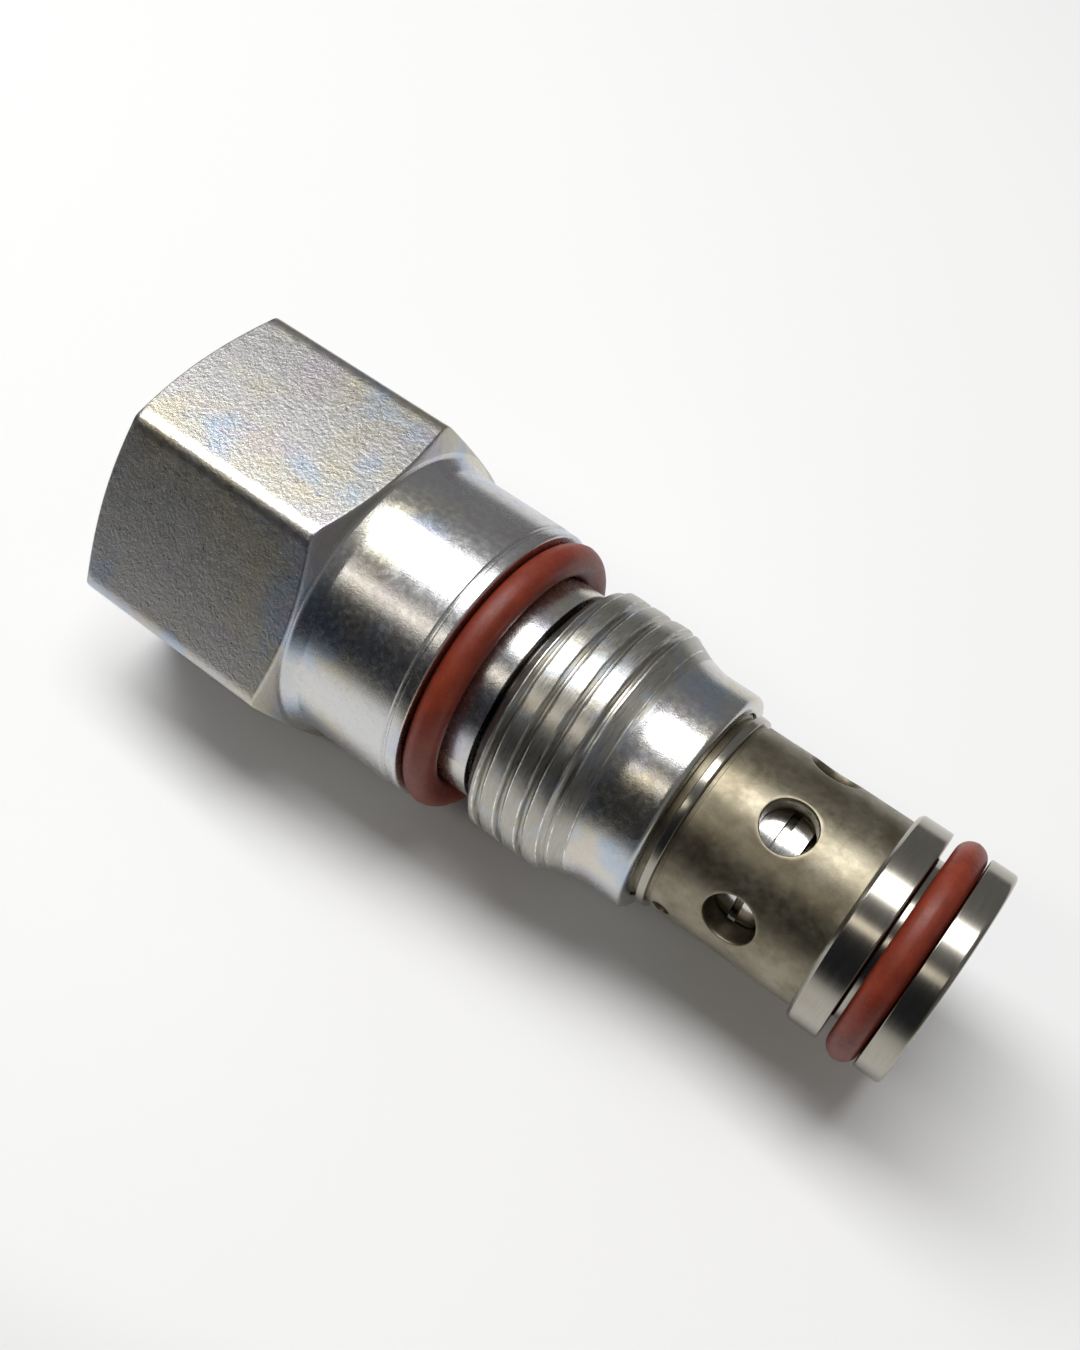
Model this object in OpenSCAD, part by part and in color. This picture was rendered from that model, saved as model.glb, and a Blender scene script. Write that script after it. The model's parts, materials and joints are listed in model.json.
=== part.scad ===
// Screw-in hydraulic relief cartridge, two ports, pilot operated.
// The valve lies along X: the hexagon is at -X and the open nose at +X.
// The origin is on the axis, in the plane of the shoulder that seats on the manifold.
// Stations are distances along X from that shoulder. Millimetres throughout.

/* [Hexagon and neck] */
// Hexagon size across its flats
hex_af = 26.8; // [25:0.1:32]
// Length of the hexagon
hex_len = 19.8; // [16:0.1:30]
// Diameter of the turned edges of the hexagon's corners
hex_corner_d = 30.5; // [28:0.1:37]
// Slope of the hexagon's end chamfers from the end faces, degrees
hex_chamfer_deg = 24; // [15:1:35]
// Diameter of the smooth neck below the hexagon
neck_d = 24.7; // [23.5:0.1:26.5]
// Length from the shoulder to the hexagon
neck_len = 11.2; // [9:0.1:16]
// Width of the flange band behind the shoulder
flange_w = 1.2; // [0.8:0.1:2]

/* [Port thread] */
// Major diameter of the port thread
thread_d = 22; // [20.5:0.1:23]
// Pitch of the port thread
thread_pitch = 2; // [1.5:0.25:2]
// Length from the shoulder to the thread
relief_len = 5.3; // [4:0.1:7]
// Diameter of the smooth neck that carries the port O-ring
relief_d = 19.1; // [18.8:0.1:20]
// Number of full thread ridges
thread_turns = 4; // [3:1:5]
// Length of the taper between thread and pilot
taper_len = 3.4; // [2:0.1:5]
// Diameter of the smooth pilot in front of the taper
pilot_d = 19.2; // [18.9:0.1:20]
// Length of the pilot
pilot_len = 3.6; // [3:0.1:6]

/* [Cage] */
// Outside diameter of the cage between its collar and its lands
cage_d = 16.24; // [15.6:0.02:16.6]
// Bore of the cage, in which the main poppet slides
cage_bore_d = 12; // [11.4:0.1:12.6]
// Diameter of the two lands at the nose
land_d = 17.9; // [17.4:0.1:19]
// Length from the body's end to the first land
cage_open_len = 14.2; // [13:0.1:20]
// Width of the first land
land_1_w = 2.7; // [2:0.1:4]
// Width of the nose O-ring groove
nose_groove_w = 3.1; // [2.9:0.1:4]
// Width of the second land
land_2_w = 2.2; // [1.6:0.1:4]
// Gap between the body's end and the cage's collar
collar_gap = 0.6; // [0.4:0.1:1]
// Number of cross holes
cross_hole_n = 6; // [4:1:6]
// Diameter of the cross holes
cross_hole_d = 4.2; // [3:0.1:4.6]
// Turn of the first cross hole from the front, degrees
cross_hole_turn = 17; // [0:1:60]
// Diameter of the small vent holes
vent_hole_d = 1.5; // [0.8:0.1:2]
// Diameter of the inlet bore in the nose
inlet_d = 10; // [9:0.1:10.4]

/* [Seals] */
// Section of the port O-ring
port_ring_w = 2.65; // [2:0.05:3]
// Section of the nose O-ring
nose_ring_w = 2.5; // [2:0.05:2.65]
// Section of the small O-rings inside
small_ring_w = 1; // [0.8:0.05:1.1]

/* [Main stage] */
// Lift of the main poppet
main_lift = 3.5; // [2.5:0.1:3.8]
// Diameter of the poppet's spring bore
poppet_bore_d = 8.4; // [7.8:0.1:8.6]
// Wire of the main spring
main_wire = 0.9; // [0.6:0.05:1.1]
// Coils of the main spring
main_coils = 9; // [6:1:10]
// Hole through the orifice jet
jet_hole_d = 0.8; // [0.5:0.1:1.4]

/* [Pilot stage] */
// Bore of the pilot chamber
chamber_d = 9.6; // [9:0.1:9.8]
// Bore that holds the pilot seat
seat_bore_d = 10.6; // [10.4:0.1:11]
// Hole through the pilot seat
pilot_hole_d = 2.2; // [1.6:0.1:2.8]
// Lift of the pilot poppet
pilot_lift = 0.8; // [0.4:0.1:1]
// Wire of the pilot spring
pilot_wire = 1.2; // [0.8:0.1:1.4]
// Coils of the pilot spring
pilot_coils = 5; // [4:1:6]

/* [Adjuster] */
// Major diameter of the adjusting screw
screw_d = 8; // [7:0.1:8.4]
// Size of the screw's hexagon socket across its flats
socket_af = 4; // [3:0.5:4.5]
// Lock nut size across its flats
nut_af = 13; // [12:0.5:14]
// Thickness of the lock nut
nut_h = 3.5; // [3:0.1:4.5]
// Diameter of the recess that holds the lock nut
recess_d = 18; // [16.8:0.1:19]
// Travel of the adjuster outwards, towards the hexagon's end
travel_out = 1; // [0.5:0.1:1]
// Travel of the adjuster inwards, towards the nose
travel_in = 1.5; // [0.5:0.1:2]

/* [Hidden] */
$fn = 96;
slip = 0.02;                  // radial clearance of a sliding fit
snug = 0.01;                  // radial clearance of parts that stay together
spill = 1;                    // how far a cutter runs past the face it opens

// Stations of the body, from the hexagon's end to the pilot's end
hex_front = -neck_len;
hex_back = hex_front - hex_len;
flange_back = -flange_w;
undercut_w = 0.7;
undercut_depth = 1;
thread_start = relief_len;
crest_flat = thread_pitch / 8;
root_flat = thread_pitch / 4;
thread_depth = thread_pitch * 0.6134;
last_crest = thread_start + thread_pitch * (thread_turns - 0.5);
taper_start = last_crest + crest_flat / 2;
taper_end = taper_start + taper_len;
body_end = taper_end + pilot_len;
pilot_round = 0.6;

// Stations of the cage
collar_back = body_end + collar_gap;
collar_w = 0.7;
collar_groove_w = 0.4;
collar_d = (cage_d + pilot_d) / 2 - 0.4;
land_1_back = body_end + cage_open_len;
land_1_front = land_1_back + land_1_w;
land_2_back = land_1_front + nose_groove_w;
nose_end = land_2_back + land_2_w;
land_chamfer = 0.35;
nose_floor_d = land_d + 0.85 - 2 * nose_ring_w;
cross_station = land_1_back - cross_hole_d / 2 - 4.5;
vent_station = collar_back + collar_w + collar_groove_w + vent_hole_d / 2 + 0.2;
vent_turn = cross_hole_turn - 180 / cross_hole_n;
poppet_shoulder = cross_station + cross_hole_d / 2 - 0.6;
cone_back_r = cage_bore_d / 2 - slip;
inlet_r = inlet_d / 2;
inlet_seat = poppet_shoulder + cone_back_r - inlet_r;

// Grooves of the small O-rings: each ring fills its groove from the floor almost to the bore
small_groove_w = small_ring_w * 1.4;
small_groove_depth = small_ring_w * 0.9;
small_ring_section = small_ring_w * 0.86;
spigot_groove_back = 0.7;
seat_groove_back = 2.2;
guide_groove_back = 1.8;

// Stations inside the body
cage_socket_d = cage_d + 0.36;
cage_shoulder = body_end - 10.3;
cage_clear = 0.4;
seat_back = cage_shoulder - 8;
seat_len = 4.5;
seat_front = seat_back + seat_len;
cage_spring_d = 8;
cage_wall_front = cage_shoulder + cage_clear + 1.5;
lock_wire_w = 1.2;
lock_wire_station = body_end - 2.8;
drain_d = 1.5;
shim_t = 0.5;

// Main poppet
poppet_back = cage_wall_front + main_lift + 0.2;
poppet_floor = poppet_shoulder - 3.4;
poppet_nose_r = 3.4;
poppet_nose = poppet_shoulder + cone_back_r - poppet_nose_r;
glide_w = 1.6;
glide_depth = 0.8;
glide_station = poppet_back + 2;
jet_d = 4;
jet_len = 3.2;
screen_d = 5;
screen_t = 0.6;
mark_groove_w = 0.6;
main_spring_d = poppet_bore_d - 0.9 - main_wire;
main_spring_back = seat_front + shim_t;

// Pilot poppet and spring
pilot_tip_len = 1.4;
pilot_slope = 4 / 7;
pilot_r = 2.2;
pilot_cone_back = seat_back - (pilot_r - pilot_hole_d / 2) / pilot_slope;
pilot_flange_r = chamber_d / 2 - 1;
pilot_flange_front = pilot_cone_back - 1.3;
pilot_flange_back = pilot_flange_front - 1;
pilot_stem_back = pilot_flange_back - 2.3;
pilot_spring_len = 8.3;
pilot_spring_d = chamber_d - 1.8 - pilot_wire;
pilot_shim_back = pilot_flange_back - pilot_spring_len - shim_t;
guide_front = pilot_shim_back;
guide_len = 5;
guide_back = guide_front - guide_len;
spigot_r = (pilot_spring_d - pilot_wire) / 2 - 0.4;

// Adjusting screw and lock nut
screw_back = hex_back + travel_out;
screw_stick_out = 1;
nut_back = screw_back + screw_stick_out;
nut_front = nut_back + nut_h;
washer_t = 1;
recess_floor = nut_front + washer_t;
screw_tip_r = screw_d / 2 - 1.1;
clip_back = guide_back - 1.9;
clip_t = 0.7;
chamber_back = clip_back - travel_out - 0.4;
socket_depth = 4;

zinc = [0.74, 0.74, 0.73];
bronze_steel = [0.40, 0.37, 0.30];
ground_steel = [0.66, 0.64, 0.60];
spring_steel = [0.35, 0.36, 0.38];
brick_rubber = [0.50, 0.14, 0.08];
black_rubber = [0.06, 0.06, 0.06];
brass_tone = [0.78, 0.62, 0.30];
white_plastic = [0.86, 0.85, 0.80];

// A solid of revolution about X. Each point is [station, radius].
module turned(points)
    rotate([0, 90, 0])
        rotate_extrude()
            polygon([for (p = points) [p[1], p[0]]]);

// A plain cylinder about X, from one station to another
module bar(back, front, d, sides = $fn)
    translate([back, 0, 0])
        rotate([0, 90, 0])
            cylinder(d = d, h = front - back, $fn = sides);

// A groove cutter about X that leaves the floor diameter
module groove(back, width, floor_d, outer_d)
    difference() {
        bar(back, back + width, outer_d + 2 * spill);
        bar(back - spill, back + width + spill, floor_d);
    }

// A radial hole at a station, turned from the front (-Y) towards the top (+Z)
module radial_hole(station, d, turn, reach)
    translate([station, 0, 0])
        rotate([90 - turn, 0, 0])
            cylinder(d = d, h = reach);

// A ring of round section about X
module round_ring(station, centre_r, section)
    translate([station, 0, 0])
        rotate([0, 90, 0])
            rotate_extrude()
                translate([centre_r, 0])
                    circle(d = section, $fn = 48);

// The groove of a small O-ring, cut from the bore that the ring seals
module small_groove(back, bore_d)
    groove(back, small_groove_w, bore_d - 2 * small_groove_depth, bore_d);

// A small O-ring in its groove
module small_ring(groove_back, bore_d)
    round_ring(groove_back + small_groove_w / 2, bore_d / 2 - small_groove_depth + small_ring_section / 2,
        small_ring_section);

// A hexagonal bar about X with a flat facing down
module hex_bar(back, front, af)
    translate([back, 0, 0])
        rotate([0, 90, 0])
            rotate([0, 0, 30])
                cylinder(d = af / cos(30), h = front - back, $fn = 6);

// Distance that a spring's wire has advanced after a share of its coils: the end coils lie closed
function spring_rise(share, coils, wire, length) =
    let (
        closed = wire * 1.08,
        done = share * coils,
        open_pitch = (length - wire - 2 * closed) / (coils - 2)
    )
    done < 1 ? done * closed
    : done < coils - 1 ? closed + (done - 1) * open_pitch
    : length - wire - (coils - done) * closed;

// A helical compression spring about X, its wire swept as rings of eight points
module coil_spring(back, length, mean_d, wire, coils) {
    per_coil = 14;
    sides = 8;
    rings = coils * per_coil;
    lead = atan(length / coils / (PI * mean_d));
    points = [
        for (i = [0:rings])
            let (
                a = i * 360 / per_coil,
                x = back + wire / 2 + spring_rise(i / rings, coils, wire, length),
                tilt = (i < per_coil || i > rings - per_coil) ? 0 : lead
            )
            for (j = [0:sides - 1])
                let (
                    b = j * 360 / sides,
                    r = (mean_d + wire * cos(b)) / 2,
                    axial = wire / 2 * sin(b) * cos(tilt),
                    along = -wire / 2 * sin(b) * sin(tilt)
                )
                [x + axial, r * cos(a) - along * sin(a), r * sin(a) + along * cos(a)]
    ];
    walls = [
        for (i = [0:rings - 1], j = [0:sides - 1])
            let (k = (j + 1) % sides)
            [i * sides + j, i * sides + k, (i + 1) * sides + k, (i + 1) * sides + j]
    ];
    caps = [
        [for (j = [sides - 1:-1:0]) j],
        [for (j = [0:sides - 1]) rings * sides + j]
    ];
    polyhedron(points, concat(walls, caps), convexity = 10);
}

// The ridges of the port thread as [station, radius] points
function thread_points() = [
    for (i = [0:thread_turns - 1])
        let (crest = thread_start + thread_pitch * (i + 0.5), root_r = thread_d / 2 - thread_depth)
        for (p = [
            [crest - thread_pitch / 2 + root_flat / 2, root_r],
            [crest - crest_flat / 2, thread_d / 2],
            [crest + crest_flat / 2, thread_d / 2]
        ]) p
];

module valve_body() {
    chamfer_run = (hex_corner_d - hex_af) / 2 * tan(hex_chamfer_deg);
    shoulder_edge = 0.3;
    root_r = thread_d / 2 - thread_depth;
    color(zinc)
        difference() {
            union() {
                intersection() {
                    hex_bar(hex_back, hex_front, hex_af);
                    turned([
                        [hex_back, 0], [hex_back, hex_af / 2],
                        [hex_back + chamfer_run, hex_corner_d / 2],
                        [hex_front - chamfer_run, hex_corner_d / 2],
                        [hex_front, hex_af / 2], [hex_front, 0]
                    ]);
                }
                turned(concat(
                    [
                        [hex_front - spill, 0], [hex_front - spill, neck_d / 2 + 0.4],
                        [hex_front, neck_d / 2 + 0.4], [hex_front + 0.4, neck_d / 2],
                        [flange_back, neck_d / 2],
                        [flange_back, neck_d / 2 - 0.2], [flange_back + 0.25, neck_d / 2 - 0.2],
                        [flange_back + 0.25, neck_d / 2 - 0.05], [-shoulder_edge, neck_d / 2 - 0.05],
                        [0, neck_d / 2 - shoulder_edge], [0, relief_d / 2],
                        [relief_len - undercut_w, relief_d / 2],
                        [relief_len - undercut_w, relief_d / 2 - undercut_depth],
                        [relief_len, relief_d / 2 - undercut_depth],
                        [thread_start, root_r]
                    ],
                    thread_points(),
                    [
                        [taper_start + taper_len * 0.62, pilot_d / 2 + 0.32],
                        [taper_end, pilot_d / 2],
                        [body_end - pilot_round, pilot_d / 2],
                        [body_end - pilot_round * 0.3, pilot_d / 2 - pilot_round * 0.3],
                        [body_end, pilot_d / 2 - pilot_round],
                        [body_end, 0]
                    ]
                ));
            }
            bar(cage_shoulder, body_end + spill, cage_socket_d);
            bar(seat_back, cage_shoulder + spill, seat_bore_d);
            bar(chamber_back, seat_back + spill, chamber_d);
            bar(recess_floor - spill, chamber_back + spill, screw_d + 2 * slip);
            bar(hex_back - spill, recess_floor, recess_d);
            round_ring(lock_wire_station, cage_socket_d / 2, lock_wire_w + 2 * snug);
            for (side = [0, 180])
                rotate([side, 0, 0])
                    drain_hole();
        }
}

// A slanting drain from the pilot chamber's front to the face behind the cage
module drain_hole() {
    mouth_r = seat_bore_d / 2 + 2.6;
    root_r = seat_bore_d / 2 - 0.3;
    run = cage_shoulder + 0.5 - seat_back;
    slant = atan((mouth_r - root_r) / run);
    translate([seat_back, 0, root_r])
        rotate([0, 90 - slant, 0])
            cylinder(d = drain_d, h = run / cos(slant));
}

module cage() {
    socket_r = cage_socket_d / 2 - snug;
    spigot_r = seat_bore_d / 2 - snug;
    back_face = cage_shoulder + cage_clear;
    color(bronze_steel)
        difference() {
            turned([
                [seat_front, cage_spring_d / 2],
                [seat_front, spigot_r],
                [back_face, spigot_r],
                [back_face, socket_r - 0.4],
                [back_face + 0.4, socket_r],
                [body_end - 0.3, socket_r],
                [body_end, cage_d / 2 - 0.2],
                [collar_back, cage_d / 2 - 0.2],
                [collar_back, collar_d / 2 - 0.1],
                [collar_back + 0.1, collar_d / 2],
                [collar_back + collar_w, collar_d / 2 - 0.15],
                [collar_back + collar_w, cage_d / 2 - 0.25],
                [collar_back + collar_w + collar_groove_w, cage_d / 2 - 0.25],
                [collar_back + collar_w + collar_groove_w, cage_d / 2],
                [land_1_back, cage_d / 2],
                [land_1_back, land_d / 2 - land_chamfer],
                [land_1_back + land_chamfer, land_d / 2],
                [land_1_front - 0.15, land_d / 2],
                [land_1_front, land_d / 2 - 0.15],
                [land_1_front, nose_floor_d / 2],
                [land_2_back, nose_floor_d / 2],
                [land_2_back, land_d / 2 - 0.15],
                [land_2_back + 0.15, land_d / 2],
                [nose_end - land_chamfer, land_d / 2],
                [nose_end, land_d / 2 - land_chamfer],
                [nose_end, inlet_r + 1.2],
                [nose_end - 2, inlet_r],
                [inlet_seat, inlet_r],
                [inlet_seat, cage_bore_d / 2],
                [cage_wall_front, cage_bore_d / 2],
                [cage_wall_front, cage_spring_d / 2]
            ]);
            small_groove(seat_front + spigot_groove_back, seat_bore_d);
            round_ring(lock_wire_station, cage_socket_d / 2, lock_wire_w + 2 * snug);
            for (i = [0:cross_hole_n - 1])
                radial_hole(cross_station, cross_hole_d, cross_hole_turn + i * 360 / cross_hole_n, land_d);
            for (side = [0, 180])
                radial_hole(vent_station, vent_hole_d, vent_turn + side, land_d);
            for (side = [0, 180])
                rotate([side, 0, 0])
                    translate([back_face - spill, -1.5, cage_socket_d / 2 - 0.5])
                        cube([body_end - back_face + 2 * spill - 1, 3, 2]);
        }
}

module cage_lock_wire()
    color(spring_steel)
        round_ring(lock_wire_station, cage_socket_d / 2, lock_wire_w);

module cage_spigot_ring()
    color(black_rubber)
        small_ring(seat_front + spigot_groove_back, seat_bore_d);

module port_ring()
    color(brick_rubber)
        round_ring(port_ring_w / 2, (relief_d + port_ring_w) / 2, port_ring_w);

module nose_ring()
    color(brick_rubber)
        round_ring(land_2_back - nose_ring_w / 2 - 0.05, (nose_floor_d + nose_ring_w) / 2, nose_ring_w);

module main_poppet() {
    r = cone_back_r;
    nose_bore_r = jet_d / 2 - 0.75;
    jet_seat = poppet_floor + 0.3 + jet_len;
    color(ground_steel)
        difference() {
            turned([
                [poppet_back, poppet_bore_d / 2 + 0.2],
                [poppet_back, r - 0.2],
                [poppet_back + 0.2, r],
                [poppet_shoulder, r],
                [poppet_nose, poppet_nose_r],
                [poppet_nose, screen_d / 2],
                [poppet_nose - screen_t, screen_d / 2],
                [poppet_nose - screen_t, nose_bore_r],
                [jet_seat, nose_bore_r],
                [jet_seat, jet_d / 2],
                [poppet_floor, jet_d / 2],
                [poppet_floor, poppet_bore_d / 2],
                [poppet_back + 0.2, poppet_bore_d / 2]
            ]);
            groove(glide_station, glide_w, 2 * (r - glide_depth), 2 * r);
            groove(cross_station - mark_groove_w * 0.9, mark_groove_w, 2 * r - 0.9, 2 * r);
            groove(vent_station - 0.6, 1.2, 2 * r - 0.7, 2 * r);
        }
}

module poppet_glide_ring()
    color(white_plastic)
        turned([
            [glide_station + 0.05, cone_back_r - glide_depth],
            [glide_station + 0.05, cone_back_r],
            [glide_station + glide_w - 0.05, cone_back_r],
            [glide_station + glide_w - 0.05, cone_back_r - glide_depth]
        ]);

module orifice_jet()
    color(brass_tone)
        difference() {
            bar(poppet_floor + 0.3, poppet_floor + 0.3 + jet_len, jet_d - 2 * snug);
            bar(poppet_floor, poppet_floor + jet_len + spill, jet_hole_d);
            translate([poppet_floor - spill, -0.4, -jet_d])
                cube([spill + 1.2, 0.8, 2 * jet_d]);
        }

module inlet_screen()
    color(brass_tone)
        difference() {
            bar(poppet_nose - screen_t, poppet_nose - 0.05, screen_d - 2 * snug);
            bar(poppet_nose - spill, poppet_nose + spill, 0.7);
            for (i = [0:5])
                rotate([60 * i, 0, 0])
                    translate([poppet_nose - spill, 0, screen_d * 0.3])
                        rotate([0, 90, 0])
                            cylinder(d = 0.7, h = 2 * spill);
        }

module main_spring()
    color(spring_steel)
        coil_spring(main_spring_back, poppet_floor - main_spring_back, main_spring_d, main_wire,
            main_coils);

module main_spring_shim()
    color(ground_steel)
        difference() {
            bar(seat_front, seat_front + shim_t, cage_spring_d - 0.4);
            bar(seat_front - spill, seat_front + spill, pilot_hole_d + 1.2);
        }

module pilot_seat() {
    outer_r = seat_bore_d / 2 - snug;
    color(ground_steel)
        difference() {
            turned([
                [seat_back, pilot_hole_d / 2],
                [seat_back, outer_r - 0.3],
                [seat_back + 0.3, outer_r],
                [seat_front, outer_r],
                [seat_front, pilot_hole_d / 2 + 0.5],
                [seat_front - 1.2, pilot_hole_d / 2]
            ]);
            small_groove(seat_back + seat_groove_back, seat_bore_d);
        }
}

module pilot_seat_ring()
    color(black_rubber)
        small_ring(seat_back + seat_groove_back, seat_bore_d);

module pilot_poppet()
    color(ground_steel)
        turned([
            [pilot_stem_back, 0],
            [pilot_stem_back, spigot_r - 0.3],
            [pilot_stem_back + 0.3, spigot_r],
            [pilot_flange_back, spigot_r],
            [pilot_flange_back, pilot_flange_r],
            [pilot_flange_front, pilot_flange_r],
            [pilot_flange_front, pilot_r],
            [pilot_cone_back, pilot_r],
            [seat_back + pilot_tip_len, pilot_hole_d / 2 - pilot_tip_len * pilot_slope],
            [seat_back + pilot_tip_len, 0]
        ]);

module pilot_spring()
    color(spring_steel)
        coil_spring(pilot_shim_back + shim_t, pilot_spring_len, pilot_spring_d, pilot_wire, pilot_coils);

module pilot_spring_shim()
    color(ground_steel)
        difference() {
            bar(pilot_shim_back, pilot_shim_back + shim_t, chamber_d - 1.4);
            bar(pilot_shim_back - spill, pilot_shim_back + spill, 2 * spigot_r + 2 * slip);
        }

module spring_guide() {
    outer_r = chamber_d / 2 - slip;
    color(ground_steel)
        difference() {
            turned([
                [guide_back, 0],
                [guide_back, outer_r - 0.3],
                [guide_back + 0.3, outer_r],
                [guide_front, outer_r],
                [guide_front, spigot_r],
                [guide_front + 2.2, spigot_r],
                [guide_front + 2.5, spigot_r - 0.3],
                [guide_front + 2.5, 0]
            ]);
            small_groove(guide_back + guide_groove_back, chamber_d);
        }
}

module spring_guide_ring()
    color(black_rubber)
        small_ring(guide_back + guide_groove_back, chamber_d);

module adjusting_screw()
    color(ground_steel)
        difference() {
            turned([
                [screw_back, 0],
                [screw_back, screw_d / 2 - 0.6],
                [screw_back + 0.6, screw_d / 2],
                [clip_back - 0.9, screw_d / 2],
                [clip_back - 0.9, screw_tip_r],
                [clip_back, screw_tip_r],
                [clip_back, screw_tip_r - 0.5],
                [clip_back + clip_t, screw_tip_r - 0.5],
                [clip_back + clip_t, screw_tip_r],
                [guide_back - 0.3, screw_tip_r],
                [guide_back, screw_tip_r - 0.3],
                [guide_back, 0]
            ]);
            hex_bar(screw_back - spill, screw_back + socket_depth, socket_af);
        }

module screw_stop_clip() {
    outer_d = min(chamber_d - 0.4, 2 * screw_tip_r + 3.4);
    color(spring_steel)
        difference() {
            bar(clip_back + snug, clip_back + clip_t - snug, outer_d);
            bar(clip_back - spill, clip_back + spill, 2 * (screw_tip_r - 0.5 + snug));
            translate([clip_back - spill, -1.6, 0])
                cube([2 * spill + clip_t, 3.2, outer_d]);
        }
}

module seal_washer()
    color(brass_tone)
        difference() {
            bar(nut_front, recess_floor, nut_af + 1.6);
            bar(nut_front - spill, recess_floor + spill, screw_d + 0.6);
        }

module lock_nut() {
    corner_r = nut_af / cos(30) / 2;
    nut_chamfer = (corner_r - nut_af / 2) * tan(30);
    color(zinc)
        difference() {
            intersection() {
                hex_bar(nut_back, nut_front, nut_af);
                turned([
                    [nut_back, 0], [nut_back, nut_af / 2],
                    [nut_back + nut_chamfer, corner_r],
                    [nut_front - nut_chamfer, corner_r],
                    [nut_front, nut_af / 2], [nut_front, 0]
                ]);
            }
            bar(nut_back - spill, nut_front + spill, screw_d + 2 * slip);
        }
}

valve_body();
cage();
cage_lock_wire();
cage_spigot_ring();
port_ring();
nose_ring();
main_poppet();
poppet_glide_ring();
orifice_jet();
inlet_screen();
main_spring();
main_spring_shim();
pilot_seat();
pilot_seat_ring();
pilot_poppet();
pilot_spring();
pilot_spring_shim();
spring_guide();
spring_guide_ring();
adjusting_screw();
screw_stop_clip();
seal_washer();
lock_nut();
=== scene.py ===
"""The looks of a screw-in hydraulic relief cartridge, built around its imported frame.

The valve lies along X: the hexagon is at -X, the open nose at +X, and the shoulder that seats on the
manifold is at 0. Sizes in this script are in millimetres and are turned to metres as a mesh is made.
"""
import json
import math

import bmesh
import bpy
from mathutils import Matrix, Vector


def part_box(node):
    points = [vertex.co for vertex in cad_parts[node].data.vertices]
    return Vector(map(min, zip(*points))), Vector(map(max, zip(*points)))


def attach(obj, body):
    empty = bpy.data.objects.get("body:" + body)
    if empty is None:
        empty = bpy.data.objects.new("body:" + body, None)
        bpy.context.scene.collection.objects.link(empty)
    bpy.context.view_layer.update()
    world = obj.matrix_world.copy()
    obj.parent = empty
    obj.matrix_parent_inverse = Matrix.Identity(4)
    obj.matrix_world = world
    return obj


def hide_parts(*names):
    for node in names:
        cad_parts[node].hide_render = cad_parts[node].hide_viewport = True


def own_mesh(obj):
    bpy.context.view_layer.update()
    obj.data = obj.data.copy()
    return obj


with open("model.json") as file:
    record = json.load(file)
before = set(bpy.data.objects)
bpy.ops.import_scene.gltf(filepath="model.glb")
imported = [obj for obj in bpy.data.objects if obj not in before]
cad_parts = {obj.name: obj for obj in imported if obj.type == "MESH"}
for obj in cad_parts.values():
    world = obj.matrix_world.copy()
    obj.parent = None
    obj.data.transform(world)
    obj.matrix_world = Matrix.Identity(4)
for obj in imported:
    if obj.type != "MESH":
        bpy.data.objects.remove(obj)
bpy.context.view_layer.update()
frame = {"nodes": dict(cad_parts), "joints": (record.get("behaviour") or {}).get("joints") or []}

MM = 0.001
CORNER_STEPS = 5
WEDGES = 16


def span(node):
    """A node's first and last station along X and its largest radius, in mm."""
    low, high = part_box(node)
    return low[0] / MM, high[0] / MM, high[1] / MM


HEX_BACK, BODY_END, _ = span("valve_body")
FLOOR_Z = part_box("valve_body")[0][2]
HEX_AF = -2 * FLOOR_Z / MM
NOSE_END = span("cage")[1]
CAGE_BACK = span("cage")[0]
LAND_R = span("cage")[2]
RING_BACK, RING_FRONT, RING_R = span("port_ring")
NOSE_RING_BACK, NOSE_RING_FRONT, NOSE_RING_R = span("nose_ring")

# Hexagon, neck and flange
HEX_CORNER_R = 15.25
HEX_CHAMFER = 0.82
HEX_FRONT = -11.2
NECK_R = 12.35
FLANGE_BACK = -1.2
HEX_ROUNDING = 0.32
FLATS_LEAST_R = 12.9
CORNER_PULL = 0.6

# Port thread
RELIEF_R = RING_R - (RING_FRONT - RING_BACK)
THREAD_BACK = 5.3
THREAD_FRONT = 13.8
THREAD_R = 11.0
THREAD_PITCH = 2.0
THREAD_DEPTH = 0.56
THREAD_PHASE = 5.85
CREST_HALF = 0.60
FLANK_RUN = 0.30
CREST_CROWN = 0.05
PILOT_R = 9.6
THREAD_STEP = 0.13

# Cage
CAGE_R = 8.12
CAGE_BORE_R = 6.0
SOCKET_R = 8.29
HOLE_STATION = 27.025
HOLE_R = 2.1
HOLE_TURN = 17.0
VENT_STATION = 22.075
VENT_R = 0.75
VENT_ROW_BACK = 21.2
VENT_ROW_FRONT = 23.18
HOLE_ROW_FRONT = 31.3
LAND_1_BACK, LAND_1_FRONT = 33.625, 36.325
LAND_2_BACK = 39.425
NOSE_FLOOR_R = 6.875
SECTORS = 6
SIDE_STEPS = 24
COLLAR_GROOVE_FRONT = 21.125
COLLAR_FRONT = 20.725
COLLAR_BACK = 20.025
COLLAR_STEEL_FRONT = 20.9
SPIGOT_FRONT = 9.525
SPIGOT_R = 5.29
SPRING_BORE_R = 4.0
SPRING_STEP = 11.025
NOSE_MOUTH_R = 6.2
INLET_R = 5.0
INLET_CONE = 2
POPPET_SEAT_DEPTH = 1.6


# ---------------------------------------------------------------- outlines and meshes

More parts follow.
